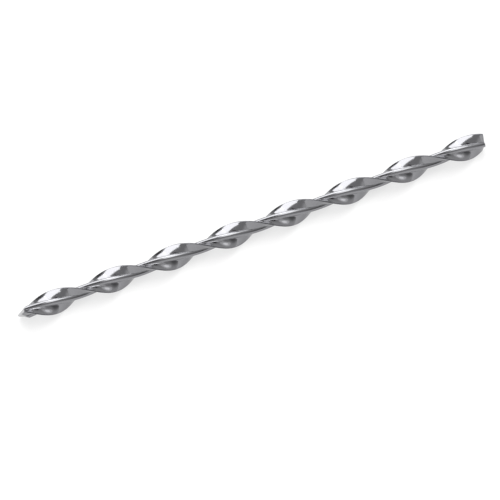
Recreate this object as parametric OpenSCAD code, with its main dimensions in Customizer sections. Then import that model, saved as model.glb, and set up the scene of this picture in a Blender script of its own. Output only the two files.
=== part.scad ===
/* [Nail] */
// Length of the nail from its point to its square end, in mm
nail_length = 175; // [75:5:300]
// Length of nail in which the fins make one full turn
pitch = 44.5; // [30:0.5:60]

/* [Fins] */
// Diameter over the two wide fins, which cut the thread that holds the nail
fin_diameter = 8.2; // [6:0.1:12]
// Thickness of a fin at its outer edge
fin_edge = 0.42; // [0.3:0.02:1]
// Radius on the two corners of a fin's outer edge
edge_radius = 0.13; // [0.02:0.01:0.14]
// Slope of each face of a fin, which thickens it towards its root, in degrees
fin_taper = 16.2; // [2:0.2:20]

/* [Ridges] */
// Diameter over the two short ridges that stiffen the nail between its fins
ridge_diameter = 4.15; // [3.5:0.05:5.5]
// Radius of the round crest of a ridge, which is half as wide as the ridge
crest_radius = 1.1; // [0.6:0.05:1.4]
// Radius in the pocket between a fin and a ridge
pocket_radius = 0.1; // [0.02:0.01:0.3]

/* [Point] */
// Angle between the two cuts that make the chisel point, in degrees
point_angle = 69; // [40:1:100]
// Angle about the nail from the fins at its tip to the chisel edge, in degrees
point_lead = 15; // [0:5:90]

/* [Hidden] */
// Steps of the twist in one full turn, and parts of the section's outline, which split up the long fin faces
steps_per_turn = 32;
outline_parts = 46;
// Sides of a full circle on the crests, and on the small corners and pockets
crest_sides = 16;
corner_sides = 8;

fin_r = fin_diameter / 2;
ridge_r = ridge_diameter / 2;
// Twist over the whole nail, right-handed, with the fins upright at the square end
turn = 360 * nail_length / pitch;

// Two fins in line, each thicker towards the middle of the nail
module fins() {
    half_edge = fin_edge / 2;
    land_x = sqrt(fin_r * fin_r - half_edge * half_edge);
    half_root = half_edge + land_x * tan(fin_taper);
    offset(r = edge_radius, $fn = corner_sides)
        offset(delta = -edge_radius)
            polygon([
                [land_x, half_edge], [0, half_root], [-land_x, half_edge],
                [-land_x, -half_edge], [0, -half_root], [land_x, -half_edge],
            ]);
}

// Two ridges with round crests, at a right angle to the fins
module ridges() {
    hull()
        for (side = [-1, 1])
            translate([0, side * (ridge_r - crest_radius)])
                circle(r = crest_radius, $fn = crest_sides);
}

// The rolled section of the bar, with its pockets rounded out
module nail_section() {
    offset(r = -pocket_radius, $fn = corner_sides)
        offset(delta = pocket_radius) {
            fins();
            ridges();
        }
}

// The section twisted along Z, from the point up to the square end
module twisted_bar() {
    steps = ceil(turn / 360 * steps_per_turn);
    linear_extrude(height = nail_length, twist = -turn, slices = steps, segments = outline_parts)
        rotate(-turn)
            nail_section();
}

// Two blocks that meet in the chisel edge and cut the bar to its point
module point_cuts() {
    reach = 2 * fin_diameter;
    rotate(point_lead - turn)
        for (side = [0, 1])
            mirror([0, side, 0])
                rotate([-point_angle / 2, 0, 0])
                    translate([-reach, 0, -reach])
                        cube([2 * reach, reach, 2 * reach]);
}

// The nail lies along X on its fins
module helical_nail() {
    color("silver")
        translate([-nail_length / 2, 0, fin_r])
            rotate([0, 90, 0])
                difference() {
                    twisted_bar();
                    point_cuts();
                }
}

helical_nail();
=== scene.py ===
"""Helical nail: one stainless steel bar with two wide fins and two short ridges.

The bar is twisted to the right, cut square at one end and cut to a chisel point at the other. It lies on its
fins along X, with its point at the low end.
"""

from __future__ import annotations

import logging
import math
from dataclasses import dataclass, field
from enum import Enum
from typing import Any, ClassVar

import bmesh
import bpy
from mathutils import Matrix, Vector


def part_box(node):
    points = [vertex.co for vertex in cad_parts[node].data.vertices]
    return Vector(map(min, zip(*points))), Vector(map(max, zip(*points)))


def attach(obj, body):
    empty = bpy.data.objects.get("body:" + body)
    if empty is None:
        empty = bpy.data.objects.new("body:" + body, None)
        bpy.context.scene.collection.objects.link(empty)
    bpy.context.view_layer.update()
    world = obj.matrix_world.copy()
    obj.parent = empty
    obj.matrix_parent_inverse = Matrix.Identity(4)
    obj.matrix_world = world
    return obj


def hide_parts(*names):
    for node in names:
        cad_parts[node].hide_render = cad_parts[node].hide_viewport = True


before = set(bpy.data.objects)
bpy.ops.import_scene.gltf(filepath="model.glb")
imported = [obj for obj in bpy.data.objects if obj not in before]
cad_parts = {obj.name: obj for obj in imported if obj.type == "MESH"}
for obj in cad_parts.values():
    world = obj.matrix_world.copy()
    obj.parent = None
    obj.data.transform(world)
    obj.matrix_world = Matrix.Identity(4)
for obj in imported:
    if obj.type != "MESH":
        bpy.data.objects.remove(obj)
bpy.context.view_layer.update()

LOG = logging.getLogger("helical_nail")
MM = 0.001
NODE_NAME = "helical_nail"
# Attribute of the nail's mesh that says where each point was before the bar was twisted
BAR_SPACE = "bar_space"
# Sockets of a Mix node for its two colours and their mix, which share their names with those for numbers
MIX_FIRST, MIX_SECOND, MIX_RESULT = 6, 7, 2


def linear(hex_colour: str) -> tuple[float, float, float, float]:
    """Turns an sRGB hex colour to the linear colour that a shader takes.

    Args:
        hex_colour: The colour as six hex digits with a leading hash.

    Returns:
        The linear red, green and blue, and an alpha of 1.
    """
    digits = hex_colour.lstrip("#")
    channels = (int(digits[place:place + 2], 16) / 255 for place in (0, 2, 4))
    # The curve of the sRGB standard, with its straight part near black
    red, green, blue = (c / 12.92 if c <= 0.04045 else ((c + 0.055) / 1.055) ** 2.4 for c in channels)
    return red, green, blue, 1.0


def bare_tree(owner: bpy.types.Material | bpy.types.World) -> bpy.types.NodeTree:
    """Gives a material or a world a node tree with nothing in it.

    Args:
        owner: The material or world.

    Returns:
        Its empty node tree.
    """
    owner.use_nodes = True
    owner.node_tree.nodes.clear()
    return owner.node_tree


def add_node(
    tree: bpy.types.NodeTree,
    kind: str,
    settings: dict[str, Any] | None = None,
    values: dict[str | int, Any] | None = None,
    links: dict[str | int, bpy.types.NodeSocket] | None = None,
) -> bpy.types.Node:
    """Adds a shader node with its settings, socket values and incoming links.

    Args:
        tree: The node tree that takes the node.
        kind: Blender's name for the node's type.
        settings: Properties of the node itself.
        values: Values of its input sockets, by socket name or number.
        links: Output sockets to join to its inputs, by socket name or number.

    Returns:
        The new node.
    """
    node = tree.nodes.new(kind)
    for name, setting in (settings or {}).items():
        setattr(node, name, setting)
    for name, value in (values or {}).items():
        node.inputs[name].default_value = value
    for name, source in (links or {}).items():
        tree.links.new(source, node.inputs[name])
    return node


def finished(mesh: bmesh.types.BMesh, name: str, material: bpy.types.Material) -> bpy.types.Object:
    """Makes a bmesh an object at the origin and puts it in the scene.

    Args:
        mesh: The mesh, which is freed.
        name: Name of the object.
        material: Material of all its faces.

    Returns:
        The object.
    """
    data = bpy.data.meshes.new(name)
    mesh.to_mesh(data)
    mesh.free()
    data.materials.append(material)
    made = bpy.data.objects.new(name, data)
    bpy.context.scene.collection.objects.link(made)
    return made


def aim(azimuth: float, elevation: float) -> Matrix:
    """Turns the Z axis to a direction seen from the nail.

    Args:
        azimuth: Angle of the direction about Z from X, in degrees.
        elevation: Its angle above the floor, in degrees.

    Returns:
        The rotation, which keeps the X axis level.
    """
    around = Matrix.Rotation(math.radians(azimuth + 90), 4, "Z")
    return around @ Matrix.Rotation(math.radians(90 - elevation), 4, "X")


@dataclass(frozen=True)
class RolledStainless:
    """Stainless steel 304, cold rolled bright, on a nail whose fins are rougher at their outer edges, where
    a darker colour is painted as shade.

    To the eye it is a grey mirror, just soft enough to blur the rims of the lamps in it, with faint lines
    that wind round with the twist. The fins' outer edges show as thin dark lines with no sharp reflection,
    from their roughness and from a darker colour painted on them as shade.

    Attributes:
        colour: The metal's own reflection colour.
        least_roughness: Roughness of the rolled skin where it is smoothest.
        most_roughness: Roughness of the rolled skin where it is roughest.
        line_width: Width of one rolling line, in metres.
        line_length: Length of one rolling line along the bar, in metres.
        line_height: Height of the rolling lines, in metres.
        line_strength: Share of that height that the light sees.
        edge_painted_shade_colour: Darker reflection colour painted on the fins' outer edges as shade, which
            draws them as dark lines.
        edge_roughness: Roughness that those edges have on top.
        edge_start: Depth under the edge at which the skin starts to turn rough and painted darker, in
            metres.
        edge_full: Depth under the edge at which it is fully rough and painted darker, in metres.
    """

    colour: str = "#8b8b8e"
    least_roughness: float = 0.08
    most_roughness: float = 0.17
    # Real rolling lines are only hundredths of a millimetre wide, so these are drawn coarser, to show at all
    line_width: float = 0.12 * MM
    line_length: float = 9.0 * MM
    line_height: float = 0.002 * MM
    line_strength: float = 0.35
    edge_painted_shade_colour: str = "#5c5c60"
    edge_roughness: float = 0.25
    edge_start: float = 0.10 * MM
    edge_full: float = 0.025 * MM

    def material(self, fin_radius: float) -> bpy.types.Material:
        """Builds the material.

        Args:
            fin_radius: Radius to the outer edge of the fins, in metres.

        Returns:
            A material whose lines follow the bar's twist.
        """
        made = bpy.data.materials.new("rolled_stainless")
        tree = bare_tree(made)
        bar = add_node(tree, "ShaderNodeAttribute", {"attribute_name": BAR_SPACE})
        stretch = add_node(
            tree, "ShaderNodeVectorMath", {"operation": "MULTIPLY"},
            {1: (1 / self.line_length, 1 / self.line_width, 1 / self.line_width)},
            {0: bar.outputs["Vector"]},
        )
        lines = add_node(
            tree, "ShaderNodeTexNoise", values={"Scale": 1.0}, links={"Vector": stretch.outputs["Vector"]},
        )
        skin = add_node(
            tree, "ShaderNodeMapRange",
            values={"To Min": self.least_roughness, "To Max": self.most_roughness},
            links={"Value": lines.outputs["Fac"]},
        )
        # Distance from the centre line, which leaves out the place along the bar
        across = add_node(
            tree, "ShaderNodeVectorMath", {"operation": "MULTIPLY"}, {1: (0, 1, 1)},
            {0: bar.outputs["Vector"]},
        )
        radius = add_node(
            tree, "ShaderNodeVectorMath", {"operation": "LENGTH"}, links={0: across.outputs["Vector"]},
        )
        # Edge mask, 0 on the skin and 1 at the fins' outer edges: it roughens them and carries their painted
        # shade
        edge = add_node(
            tree, "ShaderNodeMapRange",
            values={"From Min": fin_radius - self.edge_start, "From Max": fin_radius - self.edge_full},
            links={"Value": radius.outputs["Value"]},
        )
        rough = add_node(
            tree, "ShaderNodeMath", {"operation": "MULTIPLY_ADD"}, {1: self.edge_roughness},
            {0: edge.outputs["Result"], 2: skin.outputs["Result"]},
        )
        # Painted shade: towards the fins' outer edges the metal's colour turns to the darker edge colour,
        # which draws them as dark lines
        colour = add_node(
            tree, "ShaderNodeMix", {"data_type": "RGBA"},
            {MIX_FIRST: linear(self.colour), MIX_SECOND: linear(self.edge_painted_shade_colour)},
            {"Factor": edge.outputs["Result"]},
        )
        bump = add_node(
            tree, "ShaderNodeBump", values={"Strength": self.line_strength, "Distance": self.line_height},
            links={"Height": lines.outputs["Fac"]},
        )
        surface = add_node(
            tree, "ShaderNodeBsdfPrincipled", values={"Metallic": 1.0},
            links={
                "Base Color": colour.outputs[MIX_RESULT],
                "Roughness": rough.outputs["Value"],
                "Normal": bump.outputs["Normal"],
            },
        )
        add_node(tree, "ShaderNodeOutputMaterial", links={"Surface": surface.outputs["BSDF"]})
        return made


@dataclass(frozen=True)
class MattPaper:
    """Smooth matt paper, lit so evenly that it shows plain white and keeps a soft shadow.

    Attributes:
        colour: The paper's own colour.
        glow: Brightness that the camera and the mirroring metal see on top of the light that it scatters.
    """

    # Greyer than real paper, so that it throws little light up at the nail. Its glow makes it show white
    colour: str = "#959595"
    glow: float = 0.65

    def material(self) -> bpy.types.Material:
        """Builds the material.

        Returns:
            A material with no gloss, whose glow lights nothing.
        """
        made = bpy.data.materials.new("matt_paper")
        tree = bare_tree(made)
        scatter = add_node(tree, "ShaderNodeBsdfDiffuse", values={"Color": linear(self.colour)})
        ray = add_node(tree, "ShaderNodeLightPath")
        mirrored = add_node(
            tree, "ShaderNodeMath", {"operation": "MAXIMUM"},
            links={0: ray.outputs["Is Glossy Ray"], 1: ray.outputs["Is Transmission Ray"]},
        )
        seen = add_node(
            tree, "ShaderNodeMath", {"operation": "MAXIMUM"},
            links={0: ray.outputs["Is Camera Ray"], 1: mirrored.outputs["Value"]},
        )
        strength = add_node(
            tree, "ShaderNodeMath", {"operation": "MULTIPLY"}, {1: self.glow}, {0: seen.outputs["Value"]},
        )
        glow = add_node(
            tree, "ShaderNodeEmission", values={"Color": linear("#ffffff")},
            links={"Strength": strength.outputs["Value"]},
        )
        both = add_node(
            tree, "ShaderNodeAddShader", links={0: scatter.outputs["BSDF"], 1: glow.outputs["Emission"]},
        )
        add_node(tree, "ShaderNodeOutputMaterial", links={"Surface": both.outputs["Shader"]})
        return made


class Side(Enum):
    """The two cuts that make the chisel point, each with the sign of its side."""

    UPPER = 1
    LOWER = -1


@dataclass
class NailBar:
    """The nail itself: one rolled, twisted and cut bar.

    Its section is drawn with the ridges along Y and the fins along Z, as they stand at the square end.
    Lengths are in metres and angles in radians.

    Attributes:
        low: Lowest corner of the nail's box.
        high: Highest corner of the nail's box.
        pitch: Length of nail in which the fins make one full turn.
        fin_edge: Thickness of a fin at its outer edge.
        fin_taper: Slope of each face of a fin, which thickens it towards its root.
        edge_radius: Radius on the two corners of a fin's outer edge.
        ridge_radius: Distance from the centre line to the top of a ridge.
        crest_radius: Radius of the round crest of a ridge.
        pocket_radius: Radius in the pocket between a fin and a ridge.
        point_angle: Angle between the two cuts that make the chisel point.
        point_lead: Angle about the nail from the fins at its tip to the chisel edge.
        steps_per_turn: Steps of the twist in one full turn.
        flank_parts: Parts that a fin's face is split into, from its edge to its root.
        crest_parts: Parts of the arc of a crest.
        pocket_parts: Parts of the arc of a pocket.
        edge_parts: Parts of the arc on each corner of a fin's edge.
        finish: Finish of the metal.
    """

    low: Vector
    high: Vector
    pitch: float = 44.5 * MM
    fin_edge: float = 0.42 * MM
    fin_taper: float = math.radians(16.2)
    edge_radius: float = 0.13 * MM
    ridge_radius: float = 2.075 * MM
    crest_radius: float = 1.1 * MM
    pocket_radius: float = 0.1 * MM
    point_angle: float = math.radians(69)
    point_lead: float = math.radians(15)
    steps_per_turn: int = 120
    flank_parts: int = 6
    crest_parts: int = 20
    pocket_parts: int = 3
    edge_parts: int = 4
    finish: RolledStainless = field(default_factory=RolledStainless)

    # Length that only the faces of the fins pass among the straight parts of the section
    LONG_PART: ClassVar[float] = 1.0 * MM
    # Distance within which a cut takes a point of the bar as its own
    CUT_SNAP: ClassVar[float] = 1e-7
    # Most corners of a face of the rolled skin: four, and one more where a cut crosses it
    SKIN_CORNERS: ClassVar[int] = 5

    @property
    def length(self) -> float:
        """Length of the bar from its point to its square end."""
        return self.high.x - self.low.x

    @property
    def fin_radius(self) -> float:
        """Radius to the outer edge of the fins."""
        return (self.high.z - self.low.z) / 2

    @property
    def turn(self) -> float:
        """Angle through which the whole bar is twisted."""
        return math.tau * self.length / self.pitch

    @property
    def tip(self) -> Vector:
        """Point on the bar's centre line at its pointed end."""
        return Vector((self.low.x, 0, (self.low.z + self.high.z) / 2))

    @property
    def land(self) -> float:
        """Height of the corners of a fin's outer edge above the centre line."""
        return math.sqrt(self.fin_radius ** 2 - self.fin_edge ** 2 / 4)

    @property
    def crest(self) -> Vector:
        """Centre of the round crest of the ridge on the Y side."""
        return Vector((0, self.ridge_radius - self.crest_radius, 0))

    @property
    def pocket(self) -> Vector:
        """Centre of the round pocket between the upper fin and the ridge on the Y side.

        Returns:
            The point that lies the pocket's radius away from the fin's face and from the ridge's crest.
        """
        slope = math.tan(self.fin_taper)
        away = self.crest_radius + self.pocket_radius
        # It lies on a line beside the fin's face, which starts at this distance from the centre line
        start = self.fin_edge / 2 + self.land * slope + self.pocket_radius / math.cos(self.fin_taper)
        drop = start - self.crest.y
        # The line meets a circle about the crest's centre where a quadratic equation has its larger root
        square, half, rest = 1 + slope ** 2, drop * slope, drop ** 2 - away ** 2
        up = (half + math.sqrt(half ** 2 - square * rest)) / square
        return Vector((0, start - up * slope, up))

    @staticmethod
    def arc(
        mesh: bmesh.types.BMesh, start: bmesh.types.BMVert, centre: Vector, angle: float, parts: int,
    ) -> bmesh.types.BMVert:
        """Draws an arc in the plane across the bar.

        Args:
            mesh: The mesh that takes the arc.
            start: The point that it starts from.
            centre: Its centre.
            angle: Angle that it sweeps, from Y towards Z.
            parts: Number of straight parts.

        Returns:
            The point that it ends in.
        """
        drawn = bmesh.ops.spin(
            mesh, geom=[start], cent=centre, axis=(1, 0, 0), angle=angle, steps=parts, use_merge=False,
        )
        return next(part for part in drawn["geom_last"] if isinstance(part, bmesh.types.BMVert))

    def half_outline(self, mesh: bmesh.types.BMesh) -> tuple[bmesh.types.BMVert, bmesh.types.BMVert]:
        """Draws the outline on the Y side, from the upper fin over the ridge to the lower fin.

        Args:
            mesh: The mesh that takes the outline.

        Returns:
            The corners of the upper and of the lower fin that it runs between.
        """
        pocket = self.pocket
        face_up = Vector((0, math.cos(self.fin_taper), math.sin(self.fin_taper)))
        crest_out = (pocket - self.crest).normalized()
        bend = face_up.angle(crest_out)
        upper = mesh.verts.new((0, self.fin_edge / 2, self.land))
        start = mesh.verts.new(pocket - face_up * self.pocket_radius)
        mesh.edges.new((upper, start))
        # Round the upper pocket, over the crest and round the lower pocket
        end = self.arc(mesh, start, pocket, bend, self.pocket_parts)
        end = self.arc(mesh, end, self.crest, -2 * math.atan2(crest_out.z, crest_out.y), self.crest_parts)
        end = self.arc(mesh, end, Vector((0, pocket.y, -pocket.z)), bend, self.pocket_parts)
        lower = mesh.verts.new((0, self.fin_edge / 2, -self.land))
        mesh.edges.new((end, lower))
        return upper, lower

    def section(self, mesh: bmesh.types.BMesh) -> None:
        """Draws the bar's section: two tapered fins and two ridges with round crests.

        Args:
            mesh: The mesh that takes the section.
        """
        upper, lower = self.half_outline(mesh)
        # The other side is the same outline, turned half way round
        half = mesh.verts[:]
        twin = bmesh.ops.duplicate(mesh, geom=half + mesh.edges[:])["vert_map"]
        half_turn = Matrix.Rotation(math.pi, 3, "X")
        bmesh.ops.rotate(mesh, verts=[twin[vert] for vert in half], cent=(0, 0, 0), matrix=half_turn)
        mesh.edges.new((lower, twin[upper]))
        mesh.edges.new((twin[lower], upper))
        bmesh.ops.contextual_create(mesh, geom=mesh.edges[:])
        for corner in (upper, lower, twin[upper], twin[lower]):
            before, after = (edge.other_vert(corner).co - corner.co for edge in corner.link_edges)
            # How far from the corner its round starts
            reach = self.edge_radius / math.tan(before.angle(after) / 2)
            bmesh.ops.bevel(
                mesh, geom=[corner], offset=reach, offset_type="OFFSET", segments=self.edge_parts,
                profile=0.5, affect="VERTICES", material=-1,
            )
        flanks = [edge for edge in mesh.edges if edge.calc_length() > self.LONG_PART]
        bmesh.ops.subdivide_edges(mesh, edges=flanks, cuts=self.flank_parts - 1)

    def twist(self, mesh: bmesh.types.BMesh) -> None:
        """Sweeps the section from the point along the bar while it turns to the right.

        Args:
            mesh: The mesh that holds the section.
        """
        steps = math.ceil(self.turn / math.tau * self.steps_per_turn)
        # It starts turned back by the whole twist, so that the fins end upright at the square end
        bmesh.ops.rotate(
            mesh, verts=mesh.verts, cent=(0, 0, 0), matrix=Matrix.Rotation(-self.turn, 3, "X"),
        )
        bmesh.ops.translate(mesh, verts=mesh.verts, vec=self.tip)
        bmesh.ops.spin(
            mesh, geom=mesh.verts[:] + mesh.edges[:] + mesh.faces[:], cent=self.tip, axis=(1, 0, 0),
            dvec=(self.length / steps, 0, 0), angle=self.turn, steps=steps, use_merge=False,
        )

    def cut_point(self, mesh: bmesh.types.BMesh) -> None:
        """Shears the low end to a chisel point with two slanted cuts.

        Args:
            mesh: The mesh of the twisted bar.
        """
        # At the tip the fins stand turned back by the whole twist, and the chisel edge leads them
        direction = Matrix.Rotation(self.point_lead - self.turn, 3, "X")
        for side in Side:
            slope = Matrix.Rotation(side.value * self.point_angle / 2, 3, "Z")
            normal = direction @ (slope @ Vector((0, side.value, 0)))
            cut = bmesh.ops.bisect_plane(
                mesh, geom=mesh.verts[:] + mesh.edges[:] + mesh.faces[:], dist=self.CUT_SNAP,
                plane_co=self.tip, plane_no=normal, clear_outer=True,
            )
            rim = [part for part in cut["geom_cut"] if isinstance(part, bmesh.types.BMEdge)]
            bmesh.ops.contextual_create(mesh, geom=rim)

    def untwisted(self, place: Vector) -> Vector:
        """Gives the place that a point of the bar had before the bar was twisted.

        Args:
            place: A point of the twisted bar.

        Returns:
            Its distance from the pointed end, and its place across the straight bar.
        """
        along = place.x - self.low.x
        back = Matrix.Rotation(self.turn * (1 - along / self.length), 3, "X")
        across = back @ (place - self.tip - Vector((along, 0, 0)))
        return Vector((along, across.y, across.z))

    def shade(self, mesh: bmesh.types.BMesh) -> None:
        """Shades the rolled skin smoothly, and the square end and the point's cuts flat with sharp rims.

        Args:
            mesh: The mesh of the cut bar.
        """
        for face in mesh.faces:
            face.smooth = len(face.verts) <= self.SKIN_CORNERS
        ends = [face for face in mesh.faces if not face.smooth]
        for face in ends:
            for edge in face.edges:
                edge.smooth = False
        bmesh.ops.triangulate(mesh, faces=ends)

    def build(self) -> bpy.types.Object:
        """Builds and dresses the nail.

        Returns:
            The finished object, at the origin.
        """
        mesh = bmesh.new()
        self.section(mesh)
        self.twist(mesh)
        self.cut_point(mesh)
        bmesh.ops.recalc_face_normals(mesh, faces=mesh.faces)
        space = mesh.verts.layers.float_vector.new(BAR_SPACE)
        for vert in mesh.verts:
            vert[space] = self.untwisted(vert.co)
        self.shade(mesh)
        made = finished(mesh, "nail_bar", self.finish.material(self.fin_radius))
        # The wide faces of the fins stay flat to the eye, and the small ones round their edges take the bend
        true_faces = made.modifiers.new("true_faces", "WEIGHTED_NORMAL")
        true_faces.mode = "FACE_AREA"
        true_faces.keep_sharp = True
        return made


class LampShape(Enum):
    """Outline of a soft lamp, by Blender's name for it."""

    RECTANGLE = "RECTANGLE"
    ELLIPSE = "ELLIPSE"

    @property
    def fill(self) -> float:
        """Share of its width times its height that the outline fills."""
        return math.pi / 4 if self is LampShape.ELLIPSE else 1.0


@dataclass(frozen=True)
class Softbox:
    """A soft lamp that faces the nail.

    Attributes:
        name: The lamp's name.
        azimuth: Direction in which it hangs, about Z from X, in degrees.
        elevation: Angle of that direction above the floor, in degrees.
        roll: Turn of the lamp about that direction, in degrees.
        width: Width of the lamp, in metres.
        height: Height of the lamp, in metres.
        brightness: Brightness of its face, where 1 shows as white.
        shape: Outline of its face.
        distance: Distance from the nail, in metres.
    """

    name: str
    azimuth: float
    elevation: float
    roll: float
    width: float
    height: float
    brightness: float
    shape: LampShape = LampShape.RECTANGLE
    distance: float = 2.5

    def hang(self, target: Vector) -> None:
        """Hangs the lamp in the scene.

        Args:
            target: The point that the lamp faces.
        """
        lamp = bpy.data.lights.new(self.name, "AREA")
        lamp.shape = self.shape.value
        lamp.size = self.width
        lamp.size_y = self.height
        # Its power is pi times its brightness for each square metre of its face
        lamp.energy = self.brightness * math.pi * self.width * self.height * self.shape.fill
        made = bpy.data.objects.new(self.name, lamp)
        roll = Matrix.Rotation(math.radians(self.roll), 4, "Z")
        out = Matrix.Translation((0, 0, self.distance))
        made.matrix_world = Matrix.Translation(target) @ aim(self.azimuth, self.elevation) @ roll @ out
        made.visible_camera = False
        bpy.context.scene.collection.objects.link(made)


@dataclass(frozen=True)
class WallPatch:
    """A soft round patch of the room that is lighter or darker than the rest.

    Attributes:
        azimuth: Direction of its middle about Z from X, in degrees.
        elevation: Angle of its middle above the floor, in degrees.
        reach: Angle from its middle to where it has faded out, in degrees.
        brightness: What it adds to the room's brightness in its middle.
    """

    azimuth: float
    elevation: float
    reach: float
    brightness: float


# The lamps stand where the nail mirrors them as its highlights
LAMPS = (
    Softbox("back_softbox", azimuth=190, elevation=60, roll=49, width=1.5, height=4.1, brightness=3.2),
    Softbox("side_softbox", azimuth=84, elevation=43, roll=162, width=1.6, height=2.1, brightness=3.3),
    Softbox("far_strip", azimuth=48, elevation=55, roll=121, width=5.4, height=0.5, brightness=2.3),
    Softbox(
        "right_lamp", azimuth=359, elevation=39, roll=17, width=1.0, height=0.5, brightness=1.5,
        shape=LampShape.ELLIPSE,
    ),
    Softbox(
        "right_lamp_edge", azimuth=359, elevation=39, roll=17, width=2.2, height=1.0, brightness=0.55,
        shape=LampShape.ELLIPSE,
    ),
)
# The patches set how light or dark the metal is between its highlights
PATCHES = (
    WallPatch(azimuth=5, elevation=-13, reach=70, brightness=0.34),
    WallPatch(azimuth=270, elevation=-3, reach=27, brightness=0.40),
    WallPatch(azimuth=69, elevation=34, reach=24, brightness=-1.00),
    WallPatch(azimuth=122, elevation=22, reach=28, brightness=-0.44),
    WallPatch(azimuth=295, elevation=74, reach=13, brightness=-0.55),
    WallPatch(azimuth=308, elevation=18, reach=24, brightness=-0.30),
    WallPatch(azimuth=324, elevation=-2, reach=15, brightness=0.15),
    WallPatch(azimuth=284, elevation=20, reach=19, brightness=0.32),
    WallPatch(azimuth=0, elevation=65, reach=16, brightness=0.60),
    WallPatch(azimuth=42, elevation=55, reach=13, brightness=0.70),
)


@dataclass
class Studio:
    """A plain pale floor in a dim room with soft lamps, and the camera.

    Attributes:
        target: Middle of the nail.
        azimuth: Direction of the camera about Z from X, in degrees.
        elevation: Angle of the camera above the floor, in degrees.
        lens: Focal length of the camera, in millimetres.
        sensor: Width of the camera's sensor, in millimetres.
        view_width: Width of the view at the nail, in metres.
        shift_right: How far the nail's middle lies right of the view's middle, in metres.
        shift_up: How far the nail's middle lies above the view's middle, in metres.
        view_depth: How many times the nail's distance the camera sees.
        floor_size: Length of the floor's sides, in metres.
        floor_finish: Finish of the floor.
        horizon: Brightness of the room level with the floor.
        zenith: Brightness of the room straight above.
        top: Height in the sky, from 0 to 1, at which the room is as bright as straight above.
    """

    target: Vector
    azimuth: float = -116.56
    elevation: float = 48.45
    lens: float = 600.0
    sensor: float = 36.0
    view_width: float = 169.0 * MM
    shift_right: float = 1.08 * MM
    shift_up: float = 7.52 * MM
    view_depth: float = 4.0
    floor_size: float = 6.0
    floor_finish: MattPaper = field(default_factory=MattPaper)
    horizon: float = 0.43
    zenith: float = 0.49
    top: float = 0.10

    def camera(self) -> None:
        """Sets up the camera that takes the photograph's view."""
        lens = bpy.data.cameras.new("camera")
        lens.lens = self.lens
        lens.sensor_width = self.sensor
        distance = self.lens / self.sensor * self.view_width
        lens.clip_end = distance * self.view_depth
        made = bpy.data.objects.new("camera", lens)
        away = Matrix.Translation((-self.shift_right, -self.shift_up, distance))
        made.matrix_world = Matrix.Translation(self.target) @ aim(self.azimuth, self.elevation) @ away
        bpy.context.scene.collection.objects.link(made)
        bpy.context.scene.camera = made

    def floor(self) -> None:
        """Lays the floor that the nail rests on."""
        mesh = bmesh.new()
        bmesh.ops.create_grid(mesh, x_segments=1, y_segments=1, size=self.floor_size / 2)
        finished(mesh, "floor", self.floor_finish.material())

    def room(self) -> None:
        """Lights the room dimly from all around, with its lighter and darker patches."""
        around = bpy.data.worlds.new("studio")
        tree = bare_tree(around)
        direction = add_node(tree, "ShaderNodeTexCoord").outputs["Generated"]
        split = add_node(tree, "ShaderNodeSeparateXYZ", links={"Vector": direction})
        base = add_node(
            tree, "ShaderNodeMapRange", {"interpolation_type": "SMOOTHSTEP"},
            {"From Max": self.top, "To Min": self.horizon, "To Max": self.zenith},
            {"Value": split.outputs["Z"]},
        )
        total = base.outputs["Result"]
        for patch in PATCHES:
            middle = aim(patch.azimuth, patch.elevation).to_3x3() @ Vector((0, 0, 1))
            close = add_node(
                tree, "ShaderNodeVectorMath", {"operation": "DOT_PRODUCT"}, {1: middle}, {0: direction},
            )
            fade = add_node(
                tree, "ShaderNodeMapRange", {"interpolation_type": "SMOOTHSTEP"},
                {"From Min": math.cos(math.radians(patch.reach)), "To Max": patch.brightness},
                {"Value": close.outputs["Value"]},
            )
            both = add_node(
                tree, "ShaderNodeMath", {"operation": "ADD"}, links={0: total, 1: fade.outputs["Result"]},
            )
            total = both.outputs["Value"]
        kept = add_node(tree, "ShaderNodeMath", {"operation": "MAXIMUM"}, {1: 0.0}, {0: total})
        glow = add_node(
            tree, "ShaderNodeBackground", values={"Color": linear("#ffffff")},
            links={"Strength": kept.outputs["Value"]},
        )
        add_node(tree, "ShaderNodeOutputWorld", links={"Surface": glow.outputs["Background"]})
        bpy.context.scene.world = around

    def build(self) -> None:
        """Sets out the camera, the floor, the room and the lamps."""
        bpy.context.scene.view_settings.view_transform = "Standard"
        self.camera()
        self.floor()
        self.room()
        for lamp in LAMPS:
            lamp.hang(self.target)


def main() -> None:
    """Builds the nail and its studio, and reports each piece."""
    logging.basicConfig(level=logging.INFO, format="%(name)s: %(message)s")
    low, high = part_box(NODE_NAME)
    nail = NailBar(low, high).build()
    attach(nail, "root")
    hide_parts(NODE_NAME)
    LOG.info("%s: %d faces", nail.name, len(nail.data.polygons))
    Studio(target=(low + high) / 2).build()


if __name__ == "__main__":
    main()
